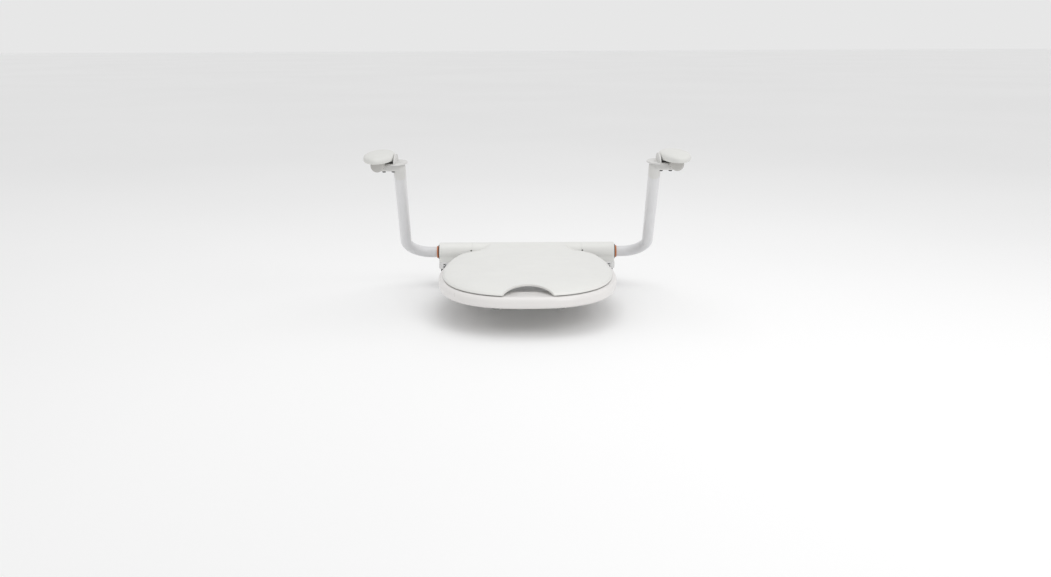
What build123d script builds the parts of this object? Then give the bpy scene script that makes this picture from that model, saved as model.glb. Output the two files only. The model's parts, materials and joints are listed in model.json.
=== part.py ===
from build123d import *
from math import asin, cos, degrees, radians, sin, sqrt
import os

# A toilet seat and lid on a hinge bar, with two swing-up arm supports.
# Millimetres. The origin is midway between the two bowl bolts, on top of the
# bowl. +X is to the right as seen from the front, +Y to the back, +Z up.

os.makedirs("parts", exist_ok=True)

# ---------------------------------------------------------------- dimensions
BAR_HALF = 198.5          # half length of the hinge bar
AXIS_Z = 29.0             # height of the axis that seat, lid and arms share
BAR_R = 21.5              # outer radius of end covers and lid barrel
SKIN = 3.1                # wall of end covers and lid barrel
STEP_Z = 23.0             # height where the front of an end cover steps back

GASKET_T = 2.0
PLATE_T = 4.5
DECK_Z = GASKET_T + PLATE_T     # top of the base plate
PLATE_HALF = 188.0
PLATE_DEPTH = 44.0

BOLT_SPACING = 155.0
BOLT_R = 4.0              # plain shank that passes through the bowl
THREAD_R = 3.4            # drawn at the thread's root
BOLT_NECK_R = 5.0
BOLT_HEAD_R = 8.0
BOWL_T = 24.0             # bowl thickness between gasket and washer
BOLT_END = -47.0

CROSS_R = 15.5            # cross tube, outside
CROSS_BORE = 13.3
SADDLE_IN = 131.0
SADDLE_OUT = 172.0
SADDLE_R = 17.6
COVER_IN = 124.0          # inner end of an end cover
COVER_WALL = 3.0
LOCK_SCREW_X = 162.0

RUN = 0.05                # radial running clearance
BUSH_IN = 150.0
BUSH_FLANGE_R = 13.8
BUSH_FLANGE_T = 3.5
SEAL_R = 16.5
SEAL_T = 2.0

SUPPORT_IN = 173.0        # side support
SUPPORT_T = 3.0
SUPPORT_FRONT = -27.0
LEG_IN = 189.0
LEG_LOW = -5.0
PAD_LOW = -11.0

ARM_R = 12.0
ARM_BORE = 10.5
ARM_IN = 132.0            # inner end of the arm's shaft
ARM_CORNER = 273.0        # where shaft and leg lines meet
ARM_BEND = 54.0
ARM_TOP = Vector(252.3, -285.0, 257.5)
ARM_END_SHARE = 0.92      # the tube ends at this share of the leg line
ARM_SWING = 62.0
PIN_X = 141.0
PIN_R = 3.0
CLIP_X = 147.8
CLIP_T = 1.8
CLIP_R = 11.2

HAND_PAD = Vector(290.4, -288.0, 272.5)   # centre of the pad's underside
HAND_PAD_HALF = (30.0, 86.0)
HAND_PAD_T = 16.5
KEEL_X = 289.0
KEEL_R = 12.5
KEEL_Z = 267.5
KEEL_BACK = 222.0
KEEL_LENGTH = 123.0
OVAL = Vector(261.0, -278.0, 265.0)       # centre of the bracket plate's underside
OVAL_HALF = (24.0, 45.0)
OVAL_T = 3.0
FIN_X = 257.4             # the fin that stands on the plate beside the pad
FIN_T = 2.8
FIN_HEIGHT = 16.5

RING_LOW = 9.0
RING_TOP = 31.0
RING_OPENING = (108.0, 139.0)
RING_OPENING_Y = -249.0
RING_SKIN = 8.0
STRAP_LOW = 14.0
STRAP_T = 3.0
STRAP_X = 100.0
STRAP_W = 24.0
STRAP_R = 17.4

LID_EDGE = 33.0
LID_WALL = 4.0
LID_CENTRE_Y = -235.0
LID_BARREL_HALF = 123.5
CHEEK_W = 5.0
LID_GAP = 0.15            # air between lid buffers and ring

# Half outlines, from the middle of the rear edge round the right side to the front.
RING_OUTLINE = [
    (0, -34), (62, -34.5), (112, -41), (148, -68), (171, -120),
    (184, -210), (176, -305), (146, -385), (86, -436), (0, -450),
]
LID_OUTLINE = [
    (0, -24), (62, -24), (106, -27.5), (137, -48), (159, -98),
    (174, -195), (168, -300), (138, -379), (82, -428), (0, -443),
]
NOTCH = [(-58, -458), (-45, -431), (-25, -404.5), (0, -393)]     # left half of the lid's finger notch
RING_HALF_WIDTH = 184.0
LID_HALF_WIDTH = 174.0

# The lid's edge rolls off as a quarter ellipse over this share of its plan size.
LID_TOP = 45.5
LID_ROLL = 0.27
LID_ROLL_STEPS = 7


# ------------------------------------------------------------------- helpers
def save(piece, name):
    """Label a finished piece and write its STEP file."""
    piece.label = name
    export_step(piece, f"parts/{name}.step")


def save_pair(piece, name):
    """Write a piece made on the right (+X), and its mirror image on the left."""
    save(piece, f"{name}_right")
    save(mirror(piece, about=Plane.YZ), f"{name}_left")


def turned(places, profile):
    """Copies of a round piece. The profile is (radius, height) points from low to high."""
    with BuildPart() as blank:
        with BuildSketch(Plane.XZ):
            with BuildLine():
                Polyline((0, profile[0][1]), *profile, (0, profile[-1][1]), close=True)
            make_face()
        revolve(axis=Axis.Z)
    with BuildPart() as copies:
        with Locations(*places):
            add(blank.part)
    return copies.part


def bar_ring(outer, inner, start, end):
    """A round sleeve about the bar's axis, from X start to X end."""
    with BuildPart() as sleeve:
        with BuildSketch(Plane.YZ.offset(start)):
            with Locations((0, AXIS_Z)):
                Circle(outer)
                if inner:
                    Circle(inner, mode=Mode.SUBTRACT)
        extrude(amount=end - start)
    return sleeve.part


def closed_outline(half, share=1.0):
    """Smooth closed outline of seat or lid, scaled about the lid's centre."""
    right = [(x * share, LID_CENTRE_Y + (y - LID_CENTRE_Y) * share) for x, y in half]
    left = [(-x, y) for x, y in reversed(right[1:-1])]
    with BuildLine() as outline:
        Spline(*right, *left, periodic=True)
    return outline.line


# ----------------------------------------------------------------- fasteners
bolt_places = [(-BOLT_SPACING / 2, 0, 0), (BOLT_SPACING / 2, 0, 0)]
bolt_profile = [
    (THREAD_R - 0.6, BOLT_END),
    (THREAD_R, BOLT_END + 0.6),
    (THREAD_R, -BOWL_T),
    (BOLT_R, -BOWL_T),
    (BOLT_R, 0),
    (BOLT_NECK_R, 0),
    (BOLT_NECK_R, DECK_Z - 3),
    (BOLT_HEAD_R, DECK_Z),
]
bowl_bolts = turned(bolt_places, bolt_profile)
save(bowl_bolts, "bowl_bolts")

with BuildPart() as bolt_washers:
    washer_profile = [(7.5, -BOWL_T - 7), (12.5, -BOWL_T - 3), (12.5, -BOWL_T - 0.5), (7, -BOWL_T - 0.5)]
    add(turned(bolt_places, washer_profile))
    add(bowl_bolts, mode=Mode.SUBTRACT)
save(bolt_washers.part, "bolt_washers")

with BuildPart() as wing_nuts:
    nut_top = -BOWL_T - 7
    add(turned(bolt_places, [(6, nut_top - 10), (7.5, nut_top - 8), (7.5, nut_top)]))
    for bolt_x, _, _ in bolt_places:
        with BuildSketch(Plane.XZ.offset(-1.5)):
            with Locations((bolt_x - 13, nut_top - 8), (bolt_x + 13, nut_top - 8)):
                Ellipse(9, 7)
        extrude(amount=3)
    with Locations(*[(x, y, nut_top) for x, y, _ in bolt_places]):
        Cylinder(30, 10, align=(Align.CENTER, Align.CENTER, Align.MIN), mode=Mode.SUBTRACT)
    add(bowl_bolts, mode=Mode.SUBTRACT)
save(wing_nuts.part, "wing_nuts")

saddle_mid = (SADDLE_IN + SADDLE_OUT) / 2
saddle_places = [(sx * saddle_mid, sy * 11, 0) for sx in (-1, 1) for sy in (-1, 1)]
saddle_screws = turned(saddle_places, [(5.5, GASKET_T), (3, GASKET_T + 2.5), (3, 13)])
save(saddle_screws, "saddle_screws")

support_top = DECK_Z + SUPPORT_T
support_places = [(sx * 181, sy * 11, 0) for sx in (-1, 1) for sy in (-1, 1)]
support_profile = [(2.5, GASKET_T + 1), (2.5, support_top - 2), (4.5, support_top)]
support_screws = turned(support_places, support_profile)
save(support_screws, "support_screws")

lock_screw_in = CROSS_BORE + 0.7
with BuildPart() as tube_lock_screws:
    for sign in (-1, 1):
        with BuildSketch(Plane.XZ.offset(-lock_screw_in)):
            with Locations((sign * LOCK_SCREW_X, AXIS_Z)):
                Circle(2.5)
        extrude(amount=-(17.0 - lock_screw_in))
save(tube_lock_screws.part, "tube_lock_screws")

with BuildPart() as cover_screws:
    for sign in (-1, 1):
        with BuildSketch(Plane.XZ.offset(-17)):
            with Locations((sign * 140, 13), (sign * 168, 13)):
                Circle(2)
        extrude(amount=-(BAR_R - 17))
        with BuildSketch(Plane.XZ.offset(-BAR_R)):
            with Locations((sign * 140, 13), (sign * 168, 13)):
                Circle(4)
        extrude(amount=-2.2)
    fillet(cover_screws.faces().sort_by(Axis.Y)[-4:].edges(), 1)
save(cover_screws.part, "cover_screws")

with BuildPart() as cover_plugs:
    for sign in (-1, 1):
        with BuildSketch(Plane.XZ.offset(17)):
            with Locations((sign * (COVER_IN + 1.8), AXIS_Z + 6.6)):
                Circle(1.6)
        extrude(amount=3.9)
save(cover_plugs.part, "cover_plugs")

# ---------------------------------------------------------------- base parts
with BuildPart() as base_gasket:
    with BuildSketch():
        RectangleRounded(2 * PLATE_HALF - 4, PLATE_DEPTH - 2, 6)
    extrude(amount=GASKET_T)
    add(bowl_bolts, mode=Mode.SUBTRACT)
save(base_gasket.part, "base_gasket")

with BuildPart() as base_plate:
    with BuildSketch(Plane.XY.offset(GASKET_T)):
        RectangleRounded(2 * PLATE_HALF, PLATE_DEPTH, 6)
    extrude(amount=PLATE_T)
    add(bowl_bolts, mode=Mode.SUBTRACT)
    add(saddle_screws, mode=Mode.SUBTRACT)
    add(support_screws, mode=Mode.SUBTRACT)
save(base_plate.part, "base_plate")

# The arm's stop pin travels in a slot through the top of the cross tube.
pin_half_angle = degrees(asin(PIN_R / CROSS_BORE)) + 1.6
slot_from = 90 - pin_half_angle
slot_to = 90 + ARM_SWING + pin_half_angle


def slot_sector(start):
    """Sector of the cross tube's wall that one stop pin sweeps."""
    reach = CROSS_R + 6
    angles = [slot_from + (slot_to - slot_from) * step / 4 for step in range(5)]
    with BuildPart() as sector:
        with BuildSketch(Plane.YZ.offset(start)):
            with BuildLine():
                rim = [(-reach * cos(radians(a)), AXIS_Z + reach * sin(radians(a))) for a in angles]
                Polyline((0, AXIS_Z), *rim, close=True)
            make_face()
        extrude(amount=2 * PIN_R + 0.6)
    return sector.part


with BuildPart() as cross_tube:
    add(bar_ring(CROSS_R, CROSS_BORE, -BAR_HALF, BAR_HALF))
    add(slot_sector(PIN_X - PIN_R - 0.3), mode=Mode.SUBTRACT)
    add(slot_sector(-PIN_X - PIN_R - 0.3), mode=Mode.SUBTRACT)
    add(tube_lock_screws.part, mode=Mode.SUBTRACT)
save(cross_tube.part, "cross_tube")

with BuildPart() as tube_saddle:
    with BuildSketch(Plane.YZ.offset(SADDLE_IN)):
        with Locations((0, AXIS_Z)):
            Circle(SADDLE_R)
        with Locations((0.25, (AXIS_Z + DECK_Z) / 2)):
            Rectangle(33.5, AXIS_Z - DECK_Z)
        with Locations((0, AXIS_Z)):
            Circle(CROSS_R, mode=Mode.SUBTRACT)
    extrude(amount=SADDLE_OUT - SADDLE_IN)
    add(saddle_screws, mode=Mode.SUBTRACT)
    add(tube_lock_screws.part, mode=Mode.SUBTRACT)
save_pair(tube_saddle.part, "tube_saddle")


def cover_profile(radius, back, front, floor, start, end):
    """Solid between X start and X end with a bar end's round-topped profile."""
    rise = STEP_Z - AXIS_Z
    nose = -sqrt(radius**2 - rise**2)
    with BuildPart() as body:
        with BuildSketch(Plane.YZ.offset(start)):
            with BuildLine():
                Line((back, floor), (back, AXIS_Z))
                ThreePointArc((back, AXIS_Z), (0, AXIS_Z + radius), (nose, STEP_Z))
                Polyline((nose, STEP_Z), (front, STEP_Z), (front, floor), (back, floor))
            make_face()
        extrude(amount=end - start)
    return body.part


with BuildPart() as end_cover:
    add(cover_profile(BAR_R, BAR_R, -19.4, DECK_Z, COVER_IN, BAR_HALF))
    rim = end_cover.faces().sort_by(Axis.X)[-1].edges().filter_by(lambda edge: edge.center().Z > DECK_Z + 1)
    fillet(rim, 1.6)
    inner = BAR_R - SKIN
    inner_end = BAR_HALF - COVER_WALL
    add(cover_profile(inner, inner, -17.0, DECK_Z, COVER_IN + COVER_WALL, inner_end), mode=Mode.SUBTRACT)
    add(bar_ring(CROSS_R + 0.1, 0, COVER_IN, BAR_HALF), mode=Mode.SUBTRACT)
    with Locations((SUPPORT_IN - 0.2, 0, DECK_Z)):
        Box(40, 80, SUPPORT_T, align=(Align.MIN, Align.CENTER, Align.MIN), mode=Mode.SUBTRACT)
    add(cover_screws.part, mode=Mode.SUBTRACT)
    add(cover_plugs.part, mode=Mode.SUBTRACT)
save_pair(end_cover.part, "end_cover")

with BuildPart() as side_support:
    flange_length = PLATE_DEPTH / 2 - SUPPORT_FRONT
    with BuildSketch(Plane.XY.offset(DECK_Z)):
        with Locations((SUPPORT_IN, SUPPORT_FRONT)):
            Rectangle(BAR_HALF - SUPPORT_IN, flange_length, align=(Align.MIN, Align.MIN))
    extrude(amount=SUPPORT_T)
    with BuildSketch(Plane.XY.offset(DECK_Z)):
        with Locations((LEG_IN, SUPPORT_FRONT)):
            Rectangle(BAR_HALF - LEG_IN, 32, align=(Align.MIN, Align.MIN))
    extrude(amount=LEG_LOW - DECK_Z)
    leg_foot = side_support.faces().sort_by(Axis.Z)[0].edges().sort_by(Axis.X)[-1]
    fillet(leg_foot, 4)
    add(support_screws, mode=Mode.SUBTRACT)
save_pair(side_support.part, "side_support")

with BuildPart() as support_pad:
    with BuildSketch(Plane.XY.offset(PAD_LOW)):
        with Locations((LEG_IN - 3, SUPPORT_FRONT + 2)):
            Rectangle(BAR_HALF - LEG_IN - 1, 28, align=(Align.MIN, Align.MIN))
    extrude(amount=LEG_LOW - PAD_LOW)
    fillet(support_pad.faces().sort_by(Axis.Z)[0].edges(), 1.5)
save_pair(support_pad.part, "support_pad")

with BuildPart() as arm_bush:
    flange_start = BAR_HALF + SEAL_T
    add(bar_ring(CROSS_BORE, ARM_R + RUN, BUSH_IN, flange_start))
    add(bar_ring(BUSH_FLANGE_R, ARM_R + RUN, flange_start, flange_start + BUSH_FLANGE_T))
save_pair(arm_bush.part, "arm_bush")

save_pair(bar_ring(SEAL_R, CROSS_BORE, BAR_HALF, BAR_HALF + SEAL_T), "seal_ring")

# ----------------------------------------------------------------- seat ring
with BuildPart() as hinge_strap:
    with BuildSketch(Plane.YZ.offset(STRAP_X - STRAP_W / 2)):
        with Locations((0, AXIS_Z)):
            Circle(STRAP_R)
        with Locations((-84, STRAP_LOW)):
            Rectangle(78, STRAP_T, align=(Align.MIN, Align.MIN))
        with Locations((0, AXIS_Z)):
            Circle(CROSS_R + RUN, mode=Mode.SUBTRACT)
    extrude(amount=STRAP_W)

strap_screw_places = [(sign * STRAP_X, y, 0) for sign in (-1, 1) for y in (-74, -52)]
strap_profile = [(4, STRAP_LOW - 2), (4, STRAP_LOW), (2.2, STRAP_LOW), (2.2, STRAP_LOW + 12)]
strap_screws = turned(strap_screw_places, strap_profile)
save(strap_screws, "strap_screws")

with BuildPart() as hinge_strap_drilled:
    add(hinge_strap.part)
    add(strap_screws, mode=Mode.SUBTRACT)
save_pair(hinge_strap_drilled.part, "hinge_strap")

seat_buffer_places = [(-126, -150, 0), (126, -150, 0), (-62, -406, 0), (62, -406, 0)]
seat_buffer_foot = [(8, 0), (9, 1.5), (9, RING_LOW)]
seat_buffers = turned(seat_buffer_places, seat_buffer_foot + [(4, RING_LOW), (4, RING_LOW + 7)])
save(seat_buffers, "seat_buffers")

with BuildPart() as seat_ring:
    with BuildSketch(Plane.XY.offset(RING_LOW)):
        make_face(closed_outline(RING_OUTLINE))
        with Locations((0, RING_OPENING_Y)):
            Ellipse(*RING_OPENING, mode=Mode.SUBTRACT)
    extrude(amount=RING_TOP - RING_LOW)
    fillet(seat_ring.faces().sort_by(Axis.Z)[-1].edges(), 10.5)
    fillet(seat_ring.faces().sort_by(Axis.Z)[0].edges(), 6)
    with BuildSketch(Plane.XY.offset(RING_LOW)):
        make_face(closed_outline(RING_OUTLINE, 1 - RING_SKIN / RING_HALF_WIDTH))
        with Locations((0, RING_OPENING_Y)):
            Ellipse(RING_OPENING[0] + RING_SKIN, RING_OPENING[1] + RING_SKIN, mode=Mode.SUBTRACT)
        for x, y, _ in seat_buffer_places:
            with Locations((x, y)):
                Circle(11, mode=Mode.SUBTRACT)
    extrude(amount=11, mode=Mode.SUBTRACT)
    for sign in (-1, 1):
        with BuildSketch(Plane.XY.offset(STRAP_LOW + STRAP_T)):
            with Locations((sign * STRAP_X, -65.5)):
                Rectangle(STRAP_W + 8, 43)
        extrude(amount=RING_LOW + 12 - STRAP_LOW - STRAP_T)
    add(hinge_strap.part, mode=Mode.SUBTRACT)
    add(mirror(hinge_strap.part, about=Plane.YZ, mode=Mode.PRIVATE), mode=Mode.SUBTRACT)
    add(strap_screws, mode=Mode.SUBTRACT)
    add(seat_buffers, mode=Mode.SUBTRACT)
save(seat_ring.part, "seat_ring")

# ----------------------------------------------------------------------- lid
def lid_dome(shrink, drop):
    """Pillow-shaped solid under the lid's crowned surface."""
    with BuildPart() as dome:
        for step in range(LID_ROLL_STEPS + 1):
            angle = radians(90 * step / LID_ROLL_STEPS)
            height = LID_EDGE + (LID_TOP - LID_EDGE) * sin(angle)
            share = 1 - LID_ROLL * (1 - cos(angle))
            with BuildSketch(Plane.XY.offset(height - drop)):
                make_face(closed_outline(LID_OUTLINE, share * shrink))
        loft()
    return dome.part


# The hump that carries the lid's surface up on to its barrel: its crest's height and
# half width, and the half width of its foot, at each Y.
HUMP = [
    (0, AXIS_Z + BAR_R, 84, 112),
    (-24, 47.9, 83, 112),
    (-50, 46.1, 80, 110),
    (-84, LID_TOP, 76, 106),
]

with BuildPart() as lid_hump:
    for y, crest, half, foot in HUMP:
        with BuildSketch(Plane.XZ.offset(-y)):
            with BuildLine():
                Spline((-foot, LID_EDGE), (-half, crest), tangents=((1, 0), (1, 0)))
                Line((-half, crest), (half, crest))
                Spline((half, crest), (foot, LID_EDGE), tangents=((1, 0), (1, 0)))
                Line((foot, LID_EDGE), (-foot, LID_EDGE))
            make_face()
    loft()

with BuildPart() as barrel:
    add(bar_ring(BAR_R, BAR_R - SKIN, -LID_BARREL_HALF, LID_BARREL_HALF))
    with BuildSketch(Plane.YZ.offset(-LID_BARREL_HALF)):
        with BuildLine():
            reach = 60
            front_cut = (-reach * cos(radians(5)), AXIS_Z - reach * sin(radians(5)))
            back_cut = (reach * cos(radians(15)), AXIS_Z - reach * sin(radians(15)))
            Polyline((0, AXIS_Z), front_cut, (-reach, -reach), (reach, -reach), back_cut, close=True)
        make_face()
    extrude(amount=2 * LID_BARREL_HALF, mode=Mode.SUBTRACT)
    for start in (-LID_BARREL_HALF, -60, 60 - CHEEK_W, LID_BARREL_HALF - CHEEK_W):
        add(bar_ring(BAR_R, CROSS_R + RUN, start, start + CHEEK_W))

lid_boss_places = [(-122, -170), (122, -170), (-66, -400), (66, -400)]
boss_low = LID_EDGE + 4

with BuildPart() as lid_bosses:
    with BuildSketch(Plane.XY.offset(boss_low)):
        with Locations(*lid_boss_places):
            Circle(8)
    extrude(amount=20)
    add(lid_dome(1.0, 0.5), mode=Mode.INTERSECT)

with BuildPart() as lid:
    add(lid_dome(1.0, 0))
    add(lid_hump.part)
    add(lid_dome(1 - LID_WALL / LID_HALF_WIDTH, LID_WALL), mode=Mode.SUBTRACT)
    add(bar_ring(BAR_R - SKIN, 0, -LID_BARREL_HALF - 1, LID_BARREL_HALF + 1), mode=Mode.SUBTRACT)
    add(barrel.part)
    add(lid_bosses.part)
    with BuildSketch(Plane.XY.offset(LID_EDGE - 5)):
        with BuildLine():
            Spline(*NOTCH, *[(-x, y) for x, y in reversed(NOTCH[:-1])])
            Polyline((58, -458), (58, -475), (-58, -475), (-58, -458))
        make_face()
    extrude(amount=30, mode=Mode.SUBTRACT)
save(lid.part, "lid")

buffer_low = RING_TOP + LID_GAP
lid_buffers = turned(
    [(x, y, 0) for x, y in lid_boss_places],
    [(6, buffer_low), (7, buffer_low + 1), (7, boss_low)],
)
save(lid_buffers, "lid_buffers")

# ---------------------------------------------------------------------- arms
# Every arm piece is made on the right and mirrored to the left.
corner = Vector(ARM_CORNER, 0, AXIS_Z)
leg = (ARM_TOP - corner).normalized()
tube_end = corner + (ARM_TOP - corner) * ARM_END_SHARE

with BuildPart() as stop_pin:
    with Locations((PIN_X, 0, AXIS_Z - ARM_R)):
        Cylinder(PIN_R, ARM_R + CROSS_R - 0.5, align=(Align.CENTER, Align.CENTER, Align.MIN))
save_pair(stop_pin.part, "stop_pin")

with BuildPart() as retaining_clip:
    add(bar_ring(CROSS_BORE - 0.35, CLIP_R, CLIP_X, CLIP_X + CLIP_T))
    with Locations((CLIP_X, 0, AXIS_Z)):
        Box(4, 5, 20, align=(Align.MIN, Align.CENTER, Align.MAX), mode=Mode.SUBTRACT)
save_pair(retaining_clip.part, "retaining_clip")

with BuildPart() as arm_tube:
    with BuildLine():
        FilletPolyline((ARM_IN, 0, AXIS_Z), corner, tube_end, radius=ARM_BEND)
    with BuildSketch(Plane.YZ.offset(ARM_IN)):
        with Locations((0, AXIS_Z)):
            Circle(ARM_R)
            Circle(ARM_BORE, mode=Mode.SUBTRACT)
    sweep()
    add(bar_ring(ARM_R + 1, CLIP_R, CLIP_X, CLIP_X + CLIP_T), mode=Mode.SUBTRACT)
    add(stop_pin.part, mode=Mode.SUBTRACT)
save_pair(arm_tube.part, "arm_tube")

with BuildPart() as arm_plug:
    add(bar_ring(ARM_R - 0.4, 0, ARM_IN - 2.5, ARM_IN))
    add(bar_ring(ARM_BORE, 0, ARM_IN, CLIP_X - 1))
    add(stop_pin.part, mode=Mode.SUBTRACT)
save_pair(arm_plug.part, "arm_plug")

pad_screw_places = [(264.5, ARM_TOP.Y, 0), (283, ARM_TOP.Y, 0)]
arm_low = 251.0
pad_screw_head = [(3, arm_low - 3), (3.6, arm_low - 2.2), (3.6, arm_low), (2, arm_low)]
pad_screws = turned(pad_screw_places, pad_screw_head + [(2, OVAL.Z + 2)])
save_pair(pad_screws, "pad_screws")

with BuildPart() as arm_pad:
    with BuildSketch(Plane.XY.offset(HAND_PAD.Z)):
        with Locations((HAND_PAD.X, HAND_PAD.Y)):
            Ellipse(*HAND_PAD_HALF)
    extrude(amount=HAND_PAD_T)
    fillet(arm_pad.faces().sort_by(Axis.Z)[-1].edges(), 6)
    fillet(arm_pad.faces().sort_by(Axis.Z)[0].edges(), 3.5)
save_pair(arm_pad.part, "arm_pad")

with BuildPart() as keel_body:
    with BuildSketch(Plane.XZ.offset(KEEL_BACK)):
        with Locations((KEEL_X, KEEL_Z)):
            Circle(KEEL_R)
        with Locations((KEEL_X, KEEL_Z)):
            Rectangle(2 * KEEL_R, HAND_PAD.Z - KEEL_Z, align=(Align.CENTER, Align.MIN))
        with Locations((KEEL_X, HAND_PAD.Z)):
            Rectangle(4 * KEEL_R, 3 * KEEL_R, align=(Align.CENTER, Align.MIN), mode=Mode.SUBTRACT)
    extrude(amount=KEEL_LENGTH)

with BuildPart() as pad_keel:
    add(keel_body.part)
    front_face = pad_keel.faces().sort_by(Axis.Y)[0]
    fillet(front_face.edges().sort_by(Axis.Z)[:-1], 4)
    add(pad_screws, mode=Mode.SUBTRACT)
save_pair(pad_keel.part, "pad_keel")

with BuildPart(Plane(origin=tube_end, z_dir=leg)) as bracket_nose:
    nose_length = (ARM_TOP - tube_end).length
    Cylinder(ARM_R, nose_length, align=(Align.CENTER, Align.CENTER, Align.MIN))
    Cylinder(ARM_BORE, 30, align=(Align.CENTER, Align.CENTER, Align.MAX))
    with Locations((0, 0, nose_length)):
        Sphere(ARM_R)

with BuildPart() as pad_bracket:
    with BuildSketch(Plane.XY.offset(arm_low)):
        with Locations((ARM_TOP.X, ARM_TOP.Y)):
            Rectangle(KEEL_X - ARM_TOP.X, 26, align=(Align.MIN, Align.CENTER))
    extrude(amount=OVAL.Z - arm_low)
    fillet(pad_bracket.faces().sort_by(Axis.Z)[0].edges().filter_by(Axis.X), 4)
    add(bracket_nose.part)
    with Locations((ARM_TOP.X, ARM_TOP.Y, OVAL.Z)):
        Box(80, 80, 20, align=(Align.CENTER, Align.CENTER, Align.MIN), mode=Mode.SUBTRACT)
    add(keel_body.part, mode=Mode.SUBTRACT)
    add(pad_screws, mode=Mode.SUBTRACT)
save_pair(pad_bracket.part, "pad_bracket")

with BuildPart() as bracket_plate:
    with BuildSketch(Plane.XY.offset(OVAL.Z)):
        with Locations((OVAL.X, OVAL.Y)):
            Ellipse(*OVAL_HALF)
    extrude(amount=OVAL_T)
    fillet(bracket_plate.faces().sort_by(Axis.Z)[-1].edges(), 1.2)
    with BuildSketch(Plane.YZ.offset(FIN_X)):
        with Locations((HAND_PAD.Y, OVAL.Z + OVAL_T)):
            Ellipse(34, FIN_HEIGHT)
            Rectangle(70, FIN_HEIGHT, align=(Align.CENTER, Align.MAX), mode=Mode.SUBTRACT)
    extrude(amount=FIN_T)
    with BuildSketch(Plane.XZ.offset(-ARM_TOP.Y)):
        with BuildLine():
            seat_low, seat_top = OVAL.Z + 1, HAND_PAD.Z
            Polyline((284, seat_low), (287, seat_top), (276, seat_top), (270, seat_low), close=True)
        make_face()
    extrude(amount=16, both=True)
    with Locations((ARM_TOP.X, ARM_TOP.Y, OVAL.Z + OVAL_T)):
        Cylinder(3.2, 2.4, mode=Mode.SUBTRACT)
    add(keel_body.part, mode=Mode.SUBTRACT)
    add(arm_pad.part, mode=Mode.SUBTRACT)
    add(pad_screws, mode=Mode.SUBTRACT)
save_pair(bracket_plate.part, "bracket_plate")
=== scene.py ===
"""Looks for a toilet seat with arm supports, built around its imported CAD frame. All in metres."""

import json
import math

import bmesh
import bpy
import numpy as np
from mathutils import Matrix, Vector


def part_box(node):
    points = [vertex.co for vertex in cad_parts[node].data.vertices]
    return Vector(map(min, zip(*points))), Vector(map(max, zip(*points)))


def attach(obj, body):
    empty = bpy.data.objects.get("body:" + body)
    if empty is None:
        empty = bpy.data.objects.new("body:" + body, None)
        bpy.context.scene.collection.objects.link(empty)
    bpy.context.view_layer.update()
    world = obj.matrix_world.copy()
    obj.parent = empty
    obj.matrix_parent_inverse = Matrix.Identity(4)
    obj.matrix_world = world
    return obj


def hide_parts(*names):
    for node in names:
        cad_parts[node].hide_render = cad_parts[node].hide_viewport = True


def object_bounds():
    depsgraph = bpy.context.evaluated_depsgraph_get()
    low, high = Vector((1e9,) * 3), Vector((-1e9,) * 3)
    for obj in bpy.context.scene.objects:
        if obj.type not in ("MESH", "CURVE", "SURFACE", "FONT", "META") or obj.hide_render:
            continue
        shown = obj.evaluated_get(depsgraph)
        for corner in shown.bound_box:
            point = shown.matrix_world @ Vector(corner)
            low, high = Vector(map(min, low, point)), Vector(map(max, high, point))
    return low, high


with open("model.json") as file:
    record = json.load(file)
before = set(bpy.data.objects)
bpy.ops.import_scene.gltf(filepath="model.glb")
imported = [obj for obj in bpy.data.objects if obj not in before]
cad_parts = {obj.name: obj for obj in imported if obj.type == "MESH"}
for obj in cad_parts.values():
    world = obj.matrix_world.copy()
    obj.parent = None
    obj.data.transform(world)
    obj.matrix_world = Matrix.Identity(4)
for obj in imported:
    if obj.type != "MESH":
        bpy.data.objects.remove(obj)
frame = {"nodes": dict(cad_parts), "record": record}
cad_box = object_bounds()
NODES = frame["nodes"]
AXIS_Z = 0.029          # height of the hinge axis, which runs along X through the origin's upright


# ---------------------------------------------------------------- materials

# How many features of each noise pattern lie in a metre.
BROAD_DRIFT = 14
CLOUDS = 45
HAND_RUBS = 22
ORANGE_PEEL = 620
PAINT_GRAIN = 2400
RUBBER_BLOOM = 70
RUBBER_SKIN = 1300
SPANGLES = 130
METAL_STREAKS = 900
FLOOR_DRIFT = 0.6


def new_material(name):
    """An empty node material with its shader, and a place in the object's own coordinates."""
    material = bpy.data.materials.new(name)
    material.use_nodes = True
    tree = material.node_tree
    shader = tree.nodes["Principled BSDF"]
    where = tree.nodes.new("ShaderNodeTexCoord").outputs["Object"]
    return material, tree, shader, where


def noise(tree, where, scale, detail=3.0, stretch=(1, 1, 1)):
    """Noise with `scale` features in a metre; a small factor in `stretch` draws it out that way."""
    mapping = tree.nodes.new("ShaderNodeMapping")
    mapping.inputs["Scale"].default_value = stretch
    tree.links.new(where, mapping.inputs["Vector"])
    texture = tree.nodes.new("ShaderNodeTexNoise")
    texture.inputs["Scale"].default_value = scale
    texture.inputs["Detail"].default_value = detail
    tree.links.new(mapping.outputs["Vector"], texture.inputs["Vector"])
    return texture.outputs["Fac"]


def spread(tree, value, low, high):
    """A noise value's middle half, spread from low to high."""
    remap = tree.nodes.new("ShaderNodeMapRange")
    remap.inputs["From Min"].default_value = 0.3
    remap.inputs["From Max"].default_value = 0.7
    remap.inputs["To Min"].default_value = low
    remap.inputs["To Max"].default_value = high
    tree.links.new(value, remap.inputs["Value"])
    return remap.outputs["Result"]


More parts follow.
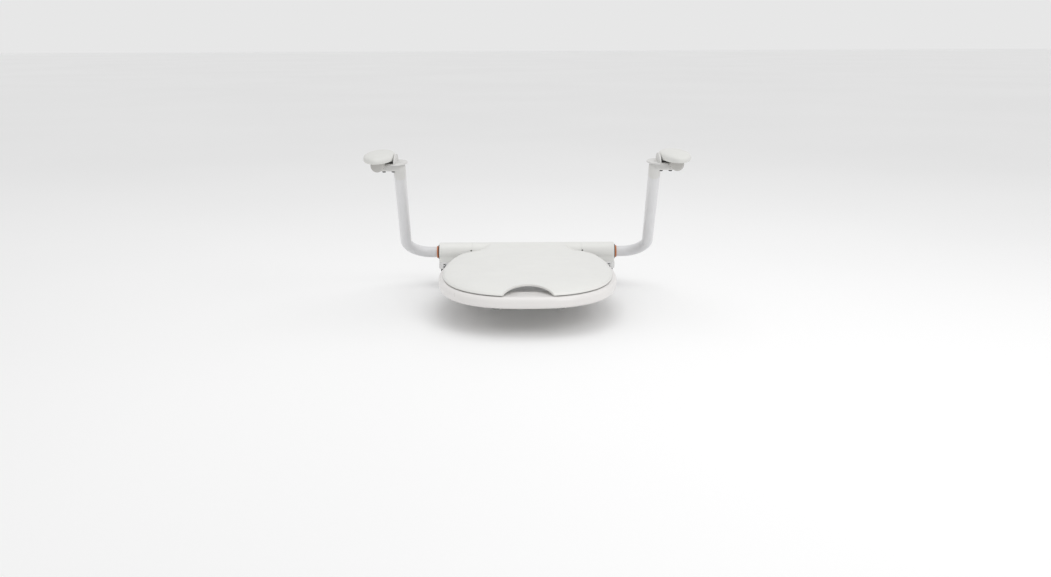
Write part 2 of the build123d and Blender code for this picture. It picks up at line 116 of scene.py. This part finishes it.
def tint(tree, value, first, second):
    """A colour between two, by a noise value."""
    ramp = tree.nodes.new("ShaderNodeValToRGB")
    ramp.color_ramp.elements[0].position = 0.35
    ramp.color_ramp.elements[0].color = (*first, 1)
    ramp.color_ramp.elements[1].position = 0.65
    ramp.color_ramp.elements[1].color = (*second, 1)
    tree.links.new(value, ramp.inputs["Fac"])
    return ramp.outputs["Color"]


def bump(tree, height, depth, below=None):
    """A bump of that depth in metres, on top of the bump `below`."""
    node = tree.nodes.new("ShaderNodeBump")
    node.inputs["Strength"].default_value = 1.0
    node.inputs["Distance"].default_value = depth
    tree.links.new(height, node.inputs["Height"])
    if below is not None:
        tree.links.new(below, node.inputs["Normal"])
    return node.outputs["Normal"]


def shade(colour, share):
    return tuple(channel * share for channel in colour)


def moulded(name, colour, rough, grain_size, grain_depth, coat=0.0, drift=0.02):
    """Moulded plastic: a colour that drifts a little, a fine spark grain, and faint sinks."""
    material, tree, shader, where = new_material(name)
    broad = noise(tree, where, BROAD_DRIFT, 2)
    tree.links.new(tint(tree, broad, shade(colour, 1 - drift), colour), shader.inputs["Base Color"])
    fine = noise(tree, where, 1 / grain_size, 4)
    cloudy = noise(tree, where, CLOUDS, 5)
    tree.links.new(spread(tree, cloudy, rough - 0.05, rough + 0.06), shader.inputs["Roughness"])
    sinks = bump(tree, broad, 0.0003)
    tree.links.new(bump(tree, fine, grain_depth, sinks), shader.inputs["Normal"])
    shader.inputs["Coat Weight"].default_value = coat
    shader.inputs["Coat Roughness"].default_value = 0.12
    return material


def powder_coat(name, colour, rough=0.36):
    """Powder coat on metal: a fine orange peel, with a few duller patches where hands rub it."""
    material, tree, shader, where = new_material(name)
    patches = noise(tree, where, HAND_RUBS, 6)
    tree.links.new(tint(tree, patches, shade(colour, 0.965), colour), shader.inputs["Base Color"])
    tree.links.new(spread(tree, patches, rough - 0.07, rough + 0.09), shader.inputs["Roughness"])
    peel = bump(tree, noise(tree, where, ORANGE_PEEL, 2), 0.00005)
    grain = noise(tree, where, PAINT_GRAIN, 2)
    tree.links.new(bump(tree, grain, 0.00001, peel), shader.inputs["Normal"])
    shader.inputs["Coat Weight"].default_value = 0.35
    shader.inputs["Coat Roughness"].default_value = 0.16
    return material


def rubber(name, colour):
    """Rubber: dark, dull, with a dusty bloom and a fine rough skin."""
    material, tree, shader, where = new_material(name)
    bloom = noise(tree, where, RUBBER_BLOOM, 6)
    dusty = tuple(channel * 1.5 + 0.012 for channel in colour)
    tree.links.new(tint(tree, bloom, colour, dusty), shader.inputs["Base Color"])
    tree.links.new(spread(tree, bloom, 0.68, 0.86), shader.inputs["Roughness"])
    tree.links.new(bump(tree, noise(tree, where, RUBBER_SKIN, 4), 0.00008), shader.inputs["Normal"])
    return material


def metal(name, colour, rough, stretch, spangle=0.05):
    """Plated or cast metal: fine streaks the way it was drawn, and patches of a duller tone."""
    material, tree, shader, where = new_material(name)
    patches = noise(tree, where, SPANGLES, 4)
    dull = shade(colour, 1 - 2 * spangle)
    tree.links.new(tint(tree, patches, dull, colour), shader.inputs["Base Color"])
    streaks = noise(tree, where, METAL_STREAKS, 3, stretch)
    tree.links.new(spread(tree, streaks, rough - 0.08, rough + 0.1), shader.inputs["Roughness"])
    tree.links.new(bump(tree, streaks, 0.00002), shader.inputs["Normal"])
    shader.inputs["Metallic"].default_value = 1.0
    return material


# By slot. A moulding's numbers are its roughness, then the size and depth of its grain.
MATERIALS = {
    "lid_plastic": moulded("lid_white", (0.78, 0.78, 0.755), 0.34, 0.0011, 0.00003, coat=0.25),
    "cover_plastic": moulded("cover_white", (0.78, 0.78, 0.755), 0.34, 0.0011, 0.00003, coat=0.25),
    "ring_plastic": moulded("ring_white", (0.79, 0.77, 0.755), 0.32, 0.0011, 0.00003, coat=0.25),
    "support_paint": powder_coat("support_white", (0.76, 0.76, 0.755)),
    "arm_paint": powder_coat("arm_white", (0.70, 0.70, 0.71)),
    "bracket_plastic": moulded("bracket_grey_white", (0.66, 0.655, 0.64), 0.42, 0.0009, 0.00004),
    "pad_plastic": moulded("pad_warm_grey", (0.70, 0.70, 0.675), 0.5, 0.0007, 0.00006, drift=0.03),
    "keel_plastic": moulded(
        "keel_warm_grey", (0.50, 0.49, 0.47), 0.52, 0.0008, 0.00006, drift=0.04
    ),
    "orange_plastic": moulded("bush_orange", (0.60, 0.20, 0.075), 0.45, 0.001, 0.00003),
    "wing_nut_plastic": moulded("nut_nylon", (0.74, 0.73, 0.69), 0.5, 0.0009, 0.00005),
    "black_plastic": moulded("plug_black", (0.022, 0.022, 0.022), 0.5, 0.0008, 0.00005),
    "black_rubber": rubber("rubber_black", (0.018, 0.018, 0.018)),
    "grey_rubber": rubber("rubber_grey", (0.22, 0.22, 0.215)),
    "plate_steel": metal("plate_zinc", (0.62, 0.63, 0.64), 0.36, (0.04, 1, 1)),
    "bright_steel": metal("steel_bright", (0.66, 0.66, 0.67), 0.30, (1, 1, 0.08)),
    "cover_screw_steel": metal("screw_stainless", (0.58, 0.58, 0.59), 0.28, (1, 0.1, 1)),
    "cast_aluminium": metal("cast_aluminium", (0.66, 0.67, 0.68), 0.48, (1, 1, 1), spangle=0.08),
    "black_screw": powder_coat("screw_black", (0.02, 0.02, 0.021), 0.42),
}

SLOTS = {part["node"]: part["material_slot"] for part in frame["record"]["subparts"]}
for node, obj in NODES.items():
    for place in obj.material_slots:
        place.material = MATERIALS[SLOTS[node]]


# ------------------------------------------------------------- mesh helpers


MERGE_DISTANCE = 2e-6
CRISP_ANGLE = 32        # degrees; a sharper edge than this stays crisp in the shading


def working_mesh(vertices, faces, name="working"):
    """A mesh object with its doubled vertices merged, to be kept, joined on or cut away."""
    mesh = bpy.data.meshes.new(name)
    mesh.from_pydata([tuple(v) for v in vertices], [], faces)
    bm = bmesh.new()
    bm.from_mesh(mesh)
    bmesh.ops.remove_doubles(bm, verts=bm.verts, dist=MERGE_DISTANCE)
    bmesh.ops.recalc_face_normals(bm, faces=bm.faces)
    bm.to_mesh(mesh)
    bm.free()
    obj = bpy.data.objects.new(name, mesh)
    bpy.context.collection.objects.link(obj)
    return obj


def make_piece(name, vertices, faces, body, slot):
    """A smooth-shaded mesh piece that rides on a body, with its slot's material."""
    obj = working_mesh(vertices, faces, name)
    obj.data.shade_smooth()
    obj.data.materials.append(MATERIALS[slot])
    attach(obj, body)
    return obj


def finish_moulding(obj, name, material):
    """Names a moulding, shades it smooth but for its sharp edges, and gives it its material."""
    obj.data.shade_smooth()
    bm = bmesh.new()
    bm.from_mesh(obj.data)
    limit = math.radians(CRISP_ANGLE)
    for edge in bm.edges:
        edge.smooth = len(edge.link_faces) == 2 and edge.calc_face_angle(0) < limit
    bm.to_mesh(obj.data)
    bm.free()
    obj.name = obj.data.name = name
    obj.data.materials.clear()
    obj.data.materials.append(material)


def ring_faces(rows, columns):
    """Quads between rows of vertices, each row a closed loop."""
    faces = []
    for r in range(rows - 1):
        for c in range(columns):
            right = (c + 1) % columns
            low, high = r * columns, (r + 1) * columns
            faces.append((low + c, low + right, high + right, high + c))
    return faces


def fan_caps(rows, columns):
    """Triangles that close the first and last rows, from two middle vertices that follow them."""
    faces = []
    last = (rows - 1) * columns
    low_middle, high_middle = rows * columns, rows * columns + 1
    for c in range(columns):
        right = (c + 1) % columns
        faces.append((low_middle, right, c))
        faces.append((high_middle, last + c, last + right))
    return faces


def disc(x, y, radius, count):
    """A round plan outline."""
    turns = np.linspace(0, 2 * math.pi, count, endpoint=False)
    return [(x + radius * math.cos(a), y + radius * math.sin(a)) for a in turns]


def prism(outline, low, high):
    """A straight-sided solid on a plan outline."""
    count = len(outline)
    vertices = [(x, y, low) for x, y in outline] + [(x, y, high) for x, y in outline]
    faces = ring_faces(2, count)
    return vertices, faces + [tuple(range(count)), tuple(range(count, 2 * count))]


def cut_away(obj, shape):
    """Cuts a shape away from obj."""
    tool = working_mesh(*shape)
    cut = obj.modifiers.new("cut", "BOOLEAN")
    cut.operation = "DIFFERENCE"
    cut.solver = "EXACT"
    cut.object = tool
    graph = bpy.context.evaluated_depsgraph_get()
    mesh = bpy.data.meshes.new_from_object(obj.evaluated_get(graph))
    obj.modifiers.clear()
    obj.data = mesh
    bpy.data.objects.remove(tool)


def join_on(obj, shape):
    """Adds a shape's own closed shell to obj, sunk into it where they meet."""
    part = working_mesh(*shape)
    bm = bmesh.new()
    bm.from_mesh(obj.data)
    bm.from_mesh(part.data)
    bm.to_mesh(obj.data)
    bm.free()
    bpy.data.objects.remove(part)


def smooth_step(value, low, high):
    """0 below low, 1 above high, and an S-curve between."""
    t = np.clip((value - low) / (high - low), 0, 1)
    return t * t * (3 - 2 * t)


def periodic_spline(points, count):
    """`count` points along the closed cubic spline through the given points.

    The spline's second derivatives at the points come from one linear system.
    """
    p = np.array(points, float)
    n = len(p)
    step = np.linalg.norm(np.roll(p, -1, axis=0) - p, axis=1)
    before = np.roll(step, 1)
    system = np.zeros((n, n))
    right = np.zeros((n, 2))
    for i in range(n):
        system[i, (i - 1) % n] += before[i]
        system[i, i] += 2 * (before[i] + step[i])
        system[i, (i + 1) % n] += step[i]
        right[i] = 6 * ((p[(i + 1) % n] - p[i]) / step[i] - (p[i] - p[(i - 1) % n]) / before[i])
    bend = np.linalg.solve(system, right)
    starts = np.concatenate(([0], np.cumsum(step)))
    out = []
    for s in np.linspace(0, starts[-1], count, endpoint=False):
        i = min(int(np.searchsorted(starts, s, side="right")) - 1, n - 1)
        j, h, t = (i + 1) % n, step[i], s - starts[i]
        a, b = (h - t) / h, t / h
        out.append(a * p[i] + b * p[j] + ((a**3 - a) * bend[i] + (b**3 - b) * bend[j]) * h * h / 6)
    return np.array(out)


def mirrored(half):
    """A closed outline from its right half, which runs from the rear middle to the front middle."""
    return half + [(-x, y) for x, y in reversed(half[1:-1])]


# ---------------------------------------------------------------------- lid

LID_OUTLINE = mirrored([
    (0, -0.024), (0.062, -0.024), (0.106, -0.0275), (0.137, -0.048), (0.159, -0.098),
    (0.174, -0.195), (0.168, -0.300), (0.138, -0.379), (0.082, -0.428), (0, -0.443),
])
LID_CENTRE = (0.0, -0.235)
LID_EDGE = 0.033        # height of the rim's bottom
LID_TOP = 0.0455
LID_WALL = 0.0032
LID_RIM = 0.004
LID_COLUMNS = 360
OUTLINE_POINTS = 2400
ROLL_START = 0.55       # share of the way out where the crown starts to roll over
ROLL_POWER = 2.3
NOTCH_APEX = -0.393
NOTCH_BEND = 0.053      # the finger notch is a parabola: its half width squared over its depth
NOTCH_HALF = 0.066
BARREL_HALF = 0.1238
BARREL_R = 0.0215
BARREL_WALL = 0.0031
BARREL_ARC = (-15, 185)
COLLARS = ((0.0552, 0.0602), (0.1184, 0.1234))      # where each hinge collar starts and ends
COLLAR_R = 0.0213
COLLAR_BORE = 0.01555
BUFFER_BOSSES = ((0.122, -0.170, 0.0430), (0.066, -0.400, 0.0408))      # x, y, top
BOSS_R = 0.008
BOSS_LOW = 0.037
HUMP_BACK = [0.0, 0.006, 0.014, 0.024, 0.036, 0.050, 0.066, 0.084]
HUMP_CREST = [0.0505, 0.0501, 0.0491, 0.0479, 0.0469, 0.0461, 0.0457, 0.0455]
HUMP_HALF = 0.080       # half width of the hump's level part
HUMP_FOOT = 0.112       # half width of its foot
HUMP_FRONT = (-0.2, -0.12)
REAR_LIP = 0.003        # how far the shell runs on behind the hinge axis
SUNK = 0.0003           # how far the shell lies under the barrel's skin there
TUBE_GAP = 0.0004


def lid_top(x, y, share):
    """Height of the upper surface: a crowned dome, and a hump that blends it into the barrel."""
    q = np.clip((share - ROLL_START) / (1 - ROLL_START), 0, 1)
    dome = LID_EDGE + (LID_TOP - LID_EDGE) * (1 - q**ROLL_POWER) ** (1 / ROLL_POWER)
    crest = np.interp(-y, HUMP_BACK, HUMP_CREST)
    fade = (1 - smooth_step(np.abs(x), HUMP_HALF, HUMP_FOOT)) * smooth_step(y, *HUMP_FRONT)
    hump = dome + np.clip(crest - dome, 0, None) * fade
    barrel = AXIS_Z + np.sqrt(np.clip(BARREL_R**2 - y**2, 0, None)) - SUNK
    over_barrel = np.where((y > -BARREL_R) & (np.abs(x) < HUMP_FOOT + 0.0005), barrel, 0)
    return np.where(y > 0, over_barrel, np.maximum(hump, over_barrel))


def lid_under(x, y, share):
    """Height of the lower surface: a wall below the top, and clear of the tube in the barrel."""
    inner = BARREL_R - BARREL_WALL
    over_tube = AXIS_Z + np.sqrt(np.clip(inner**2 - y**2, 0, None)) + TUBE_GAP
    under = np.maximum(lid_top(x, y, share) - LID_WALL, LID_EDGE)
    return np.where(np.abs(y) < inner, np.maximum(under, over_tube), under)


def lid_plan():
    """The lid's plan about its middle: the turns, and at each the radius of its outline and edge.

    The edge is the outline, but behind it squares off to take in the hump.
    """
    behind = REAR_LIP - LID_CENTRE[1]
    corner = math.atan2(behind, HUMP_FOOT)
    side = np.linspace(corner - 0.06, corner, 13)
    even = np.linspace(0, 2 * math.pi, LID_COLUMNS, endpoint=False)
    turns = np.unique(np.concatenate((even, side, math.pi - side)))
    spline = periodic_spline(LID_OUTLINE, OUTLINE_POINTS) - LID_CENTRE
    found = np.mod(np.arctan2(spline[:, 1], spline[:, 0]), 2 * math.pi)
    outline = np.interp(turns, found, np.linalg.norm(spline, axis=1), period=2 * math.pi)
    back = behind / np.clip(np.sin(turns), 1e-6, None)
    beside = HUMP_FOOT / np.clip(np.abs(np.cos(turns)), 1e-6, None)
    squared = np.maximum(outline, np.minimum(back, beside))
    return turns, outline, np.where(np.sin(turns) > 0, squared, outline)


def lid_shell():
    """The lid as one closed shell, in rows: lower surface, rim, upper surface."""
    turns, outline, edge = lid_plan()
    roll = np.cos(np.linspace(0, math.pi / 2, 26)) ** (2 / ROLL_POWER)
    level_shares = ROLL_START * np.linspace(0.04, 1, 18)
    rolled_shares = (ROLL_START + (1 - ROLL_START) * roll[::-1])[1:]
    top = [outline * share for share in (*level_shares, *rolled_shares)]
    top += [outline + (edge - outline) * share for share in np.linspace(0, 1, 12)[1:]]
    under = [radius * (1 - LID_RIM / edge) for radius in top]
    passes = [(radius, lid_under, LID_RIM) for radius in under]
    passes += [(radius, lid_top, 0) for radius in reversed(top)]
    rows = []
    for radius, surface, past_rim in passes:
        x = LID_CENTRE[0] + radius * np.cos(turns)
        y = LID_CENTRE[1] + radius * np.sin(turns)
        rows.append(np.column_stack((x, y, surface(x, y, (radius + past_rim) / outline))))
    middles = [(*LID_CENTRE, LID_TOP - LID_WALL), (*LID_CENTRE, LID_TOP)]
    faces = ring_faces(len(rows), len(turns)) + fan_caps(len(rows), len(turns))
    return np.concatenate((*rows, middles)), faces


SLEEVE_STEPS = 96


def sleeve(x_from, x_to, outer, inner, start=0, end=360):
    """A sleeve about the hinge axis, whole or between two angles in degrees up from the back."""
    whole = end - start == 360
    angles = np.radians(np.linspace(start, end, SLEEVE_STEPS + 1))
    if whole:
        angles = angles[:-1]
    vertices = []
    for angle in angles:
        back, up = math.cos(angle), math.sin(angle)
        for x, radius in ((x_from, outer), (x_to, outer), (x_to, inner), (x_from, inner)):
            vertices.append((x, back * radius, AXIS_Z + up * radius))
    faces = ring_faces(len(angles), 4)
    last = 4 * (len(angles) - 1)
    if whole:
        faces += [(last + i, last + (i + 1) % 4, (i + 1) % 4, i) for i in range(4)]
    else:
        faces += [(3, 2, 1, 0), (last, last + 1, last + 2, last + 3)]
    return vertices, faces


def build_lid():
    """The lid with its hinge barrel, finger notch, hinge collars and buffer bosses."""
    lid = working_mesh(*lid_shell())
    across = np.linspace(-NOTCH_HALF, NOTCH_HALF, 61)
    cut_away(lid, prism([(x, NOTCH_APEX - x * x / NOTCH_BEND) for x in across], 0.02, 0.07))
    barrel_bore = BARREL_R - BARREL_WALL
    join_on(lid, sleeve(-BARREL_HALF, BARREL_HALF, BARREL_R, barrel_bore, *BARREL_ARC))
    for side in (-1, 1):
        for start, end in COLLARS:
            join_on(lid, sleeve(*sorted((side * start, side * end)), COLLAR_R, COLLAR_BORE))
        for x, y, top in BUFFER_BOSSES:
            join_on(lid, prism(disc(side * x, y, BOSS_R, 40), BOSS_LOW, top))
    finish_moulding(lid, "lid_moulding", MATERIALS["lid_plastic"])
    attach(lid, "lid")
    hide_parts("lid")


# ---------------------------------------------------------------- seat ring

RING_OUTLINE = mirrored([
    (0, -0.034), (0.062, -0.0345), (0.112, -0.041), (0.148, -0.068), (0.171, -0.12),
    (0.184, -0.21), (0.176, -0.305), (0.146, -0.385), (0.086, -0.436), (0, -0.45),
])
RING_LOW = 0.009
RING_TOP = 0.031
OPENING_CENTRE = (0.0, -0.249)
OPENING_HALF = (0.108, 0.139)
TOP_ROUND = 0.0105
LOW_ROUND = 0.006
CHANNEL_EDGE = 0.008    # the width of the walls on both sides of the channel underneath
CHANNEL_TOP = 0.020
RING_COLUMNS = 360
RING_BOSSES = ((0.126, -0.150), (0.062, -0.406))
RING_BOSS_R = 0.011
STRAP_X = 0.1
STRAP_HALF = 0.0123
STRAP_LOW = 0.0138
STRAP_TOP = 0.0173
STRAP_SLOT = (-0.088, -0.02)    # the slot's reach in Y
LIP_ROUND = 0.0006


def around_opening(points):
    """Points and outward normals of a closed plan curve, at even turns about the opening."""
    turns = np.linspace(0, 2 * math.pi, RING_COLUMNS, endpoint=False)
    from_centre = points - OPENING_CENTRE
    found = np.mod(np.arctan2(from_centre[:, 1], from_centre[:, 0]), 2 * math.pi)
    radius = np.interp(turns, found, np.linalg.norm(from_centre, axis=1), period=2 * math.pi)
    place = np.column_stack((np.cos(turns), np.sin(turns))) * radius[:, None] + OPENING_CENTRE
    along = np.roll(place, -1, axis=0) - np.roll(place, 1, axis=0)
    normal = np.column_stack((along[:, 1], -along[:, 0]))
    return place, normal / np.linalg.norm(normal, axis=1)[:, None]


def ring_side():
    """One side of the ring's section, from channel to top: the inset from its edge, the height."""
    side = [(CHANNEL_EDGE, CHANNEL_TOP), (CHANNEL_EDGE, RING_LOW + LIP_ROUND)]
    side.append((CHANNEL_EDGE - LIP_ROUND, RING_LOW))
    for a in np.radians(np.linspace(0, 90, 9)):
        side.append((LOW_ROUND * (1 - math.sin(a)), RING_LOW + LOW_ROUND * (1 - math.cos(a))))
    for a in np.radians(np.linspace(0, 90, 15)):
        side.append((TOP_ROUND * (1 - math.cos(a)), RING_TOP - TOP_ROUND * (1 - math.sin(a))))
    return side


def inset_rows(place, inward):
    """The section's rows of vertices along one edge of the ring."""
    return [np.column_stack((place + inward * d, np.full(RING_COLUMNS, z))) for d, z in ring_side()]


def build_ring():
    """The seat ring: a rounded hollow band between its outline and its oval opening."""
    outer, outward = around_opening(periodic_spline(RING_OUTLINE, OUTLINE_POINTS))
    round_opening = np.array(disc(0, 0, 1, OUTLINE_POINTS))
    oval, away = around_opening(round_opening * OPENING_HALF + OPENING_CENTRE)
    rows, oval_rows = inset_rows(outer, -outward), inset_rows(oval, away)
    start, finish = rows[-1], oval_rows[-1]
    for share in np.linspace(0, 1, 8)[1:-1]:
        rows.append(start + (finish - start) * share)
    rows += oval_rows[::-1] + [rows[0]]
    ring = working_mesh(np.concatenate(rows), ring_faces(len(rows), RING_COLUMNS))
    front, rear = STRAP_SLOT
    for side in (-1, 1):
        left, right = sorted((side * (STRAP_X - STRAP_HALF), side * (STRAP_X + STRAP_HALF)))
        slot = [(left, front), (right, front), (right, rear), (left, rear)]
        cut_away(ring, prism(slot, STRAP_LOW, STRAP_TOP))
        for x, y in RING_BOSSES:
            boss = disc(side * x, y, RING_BOSS_R, 48)
            join_on(ring, prism(boss, RING_LOW + 0.0001, CHANNEL_TOP + 0.0005))
    finish_moulding(ring, "ring_moulding", MATERIALS["ring_plastic"])
    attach(ring, "seat")
    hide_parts("seat_ring")


# ---------------------------------------------------------------- hand pads

PAD_COLUMNS = 64
PAD_PROFILE = [      # share of the plan size, share of the height
    (0.60, 0.0), (0.84, 0.0), (0.93, 0.03), (0.98, 0.14), (1.0, 0.33), (0.992, 0.50),
    (0.965, 0.64), (0.90, 0.76), (0.78, 0.86), (0.58, 0.945), (0.32, 0.99),
]


def build_pad(side):
    """The hand pad: a crowned oval with a soft lip, in place of the plain CAD solid."""
    low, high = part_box(f"arm_pad_{side}")
    centre, half = (low + high) / 2, (high - low) / 2
    vertices = []
    for share, height in PAD_PROFILE:
        z = low.z + (high.z - low.z) * height
        for x, y in disc(0, 0, share, PAD_COLUMNS):
            vertices.append((centre.x + half.x * x, centre.y + half.y * y, z))
    vertices += [(centre.x, centre.y, low.z), (centre.x, centre.y, high.z)]
    rows = len(PAD_PROFILE)
    faces = ring_faces(rows, PAD_COLUMNS) + fan_caps(rows, PAD_COLUMNS)
    pad = make_piece(f"hand_pad_{side}", vertices, faces, f"arm_{side}", "pad_plastic")
    smooth = pad.modifiers.new("smooth", "SUBSURF")
    smooth.levels = smooth.render_levels = 2
    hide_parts(f"arm_pad_{side}")


build_lid()
build_ring()
for side in ("left", "right"):
    build_pad(side)


# ---------------------------------------------------------------- floor, light, camera

FLOOR_Z = cad_box[0].z - 0.0005
FLOOR_HALF = 30.0
WORLD_STRENGTH = 0.8
LIGHT_AIM = (0, -0.2, 0.08)
CAMERA_PLACE = (-0.014, -2.3965, 0.5174)
CAMERA_DOWN = 13.5      # degrees below level
CAMERA_YAW = -0.0045    # radians
CAMERA_ROLL = -0.25     # degrees
CAMERA_LENS = 36.65


def make_floor():
    """A plain pale floor, just under the lowest part."""
    mesh = bpy.data.meshes.new("floor")
    low, high = -FLOOR_HALF, FLOOR_HALF
    corners = [(low, low), (high, low), (high, high), (low, high)]
    mesh.from_pydata([(x, y, FLOOR_Z) for x, y in corners], [], [(0, 1, 2, 3)])
    floor = bpy.data.objects.new("floor", mesh)
    bpy.context.collection.objects.link(floor)
    material, tree, shader, where = new_material("floor_pale")
    drift = noise(tree, where, FLOOR_DRIFT, 2)
    pale = tint(tree, drift, (0.93, 0.93, 0.93), (0.95, 0.95, 0.95))
    tree.links.new(pale, shader.inputs["Base Color"])
    shader.inputs["Roughness"].default_value = 0.8
    floor.data.materials.append(material)


def softbox(name, place, size, power):
    """A square area light at place, facing the seat."""
    light = bpy.data.lights.new(name, "AREA")
    light.size = size
    light.energy = power
    obj = bpy.data.objects.new(name, light)
    obj.location = place
    toward = Vector(LIGHT_AIM) - Vector(place)
    obj.rotation_euler = toward.to_track_quat("-Z", "Y").to_euler()
    bpy.context.collection.objects.link(obj)


def make_light():
    """An even white studio, with a soft light overhead and one to the front right."""
    world = bpy.data.worlds.new("studio")
    world.use_nodes = True
    background = world.node_tree.nodes["Background"]
    background.inputs["Color"].default_value = (1.0, 1.0, 1.0, 1)
    background.inputs["Strength"].default_value = WORLD_STRENGTH
    bpy.context.scene.world = world
    softbox("overhead", (0.3, -0.25, 1.9), size=1.7, power=8)
    softbox("key_right", (1.3, -1.7, 1.5), size=0.9, power=7)
    bpy.context.scene.view_settings.view_transform = "Standard"


def make_camera():
    """The viewpoint: a little above the seat and well in front, with a longish lens."""
    data = bpy.data.cameras.new("camera")
    data.sensor_width = 36.0
    data.lens = CAMERA_LENS
    data.clip_end = 100
    camera = bpy.data.objects.new("camera", data)
    camera.location = CAMERA_PLACE
    pitch = Matrix.Rotation(math.radians(90 - CAMERA_DOWN), 4, "X")
    roll = Matrix.Rotation(math.radians(CAMERA_ROLL), 4, "Z")
    turn = Matrix.Rotation(CAMERA_YAW, 4, "Z") @ pitch
    camera.rotation_euler = (turn @ roll).to_euler()
    bpy.context.collection.objects.link(camera)
    bpy.context.scene.camera = camera


make_floor()
make_light()
make_camera()
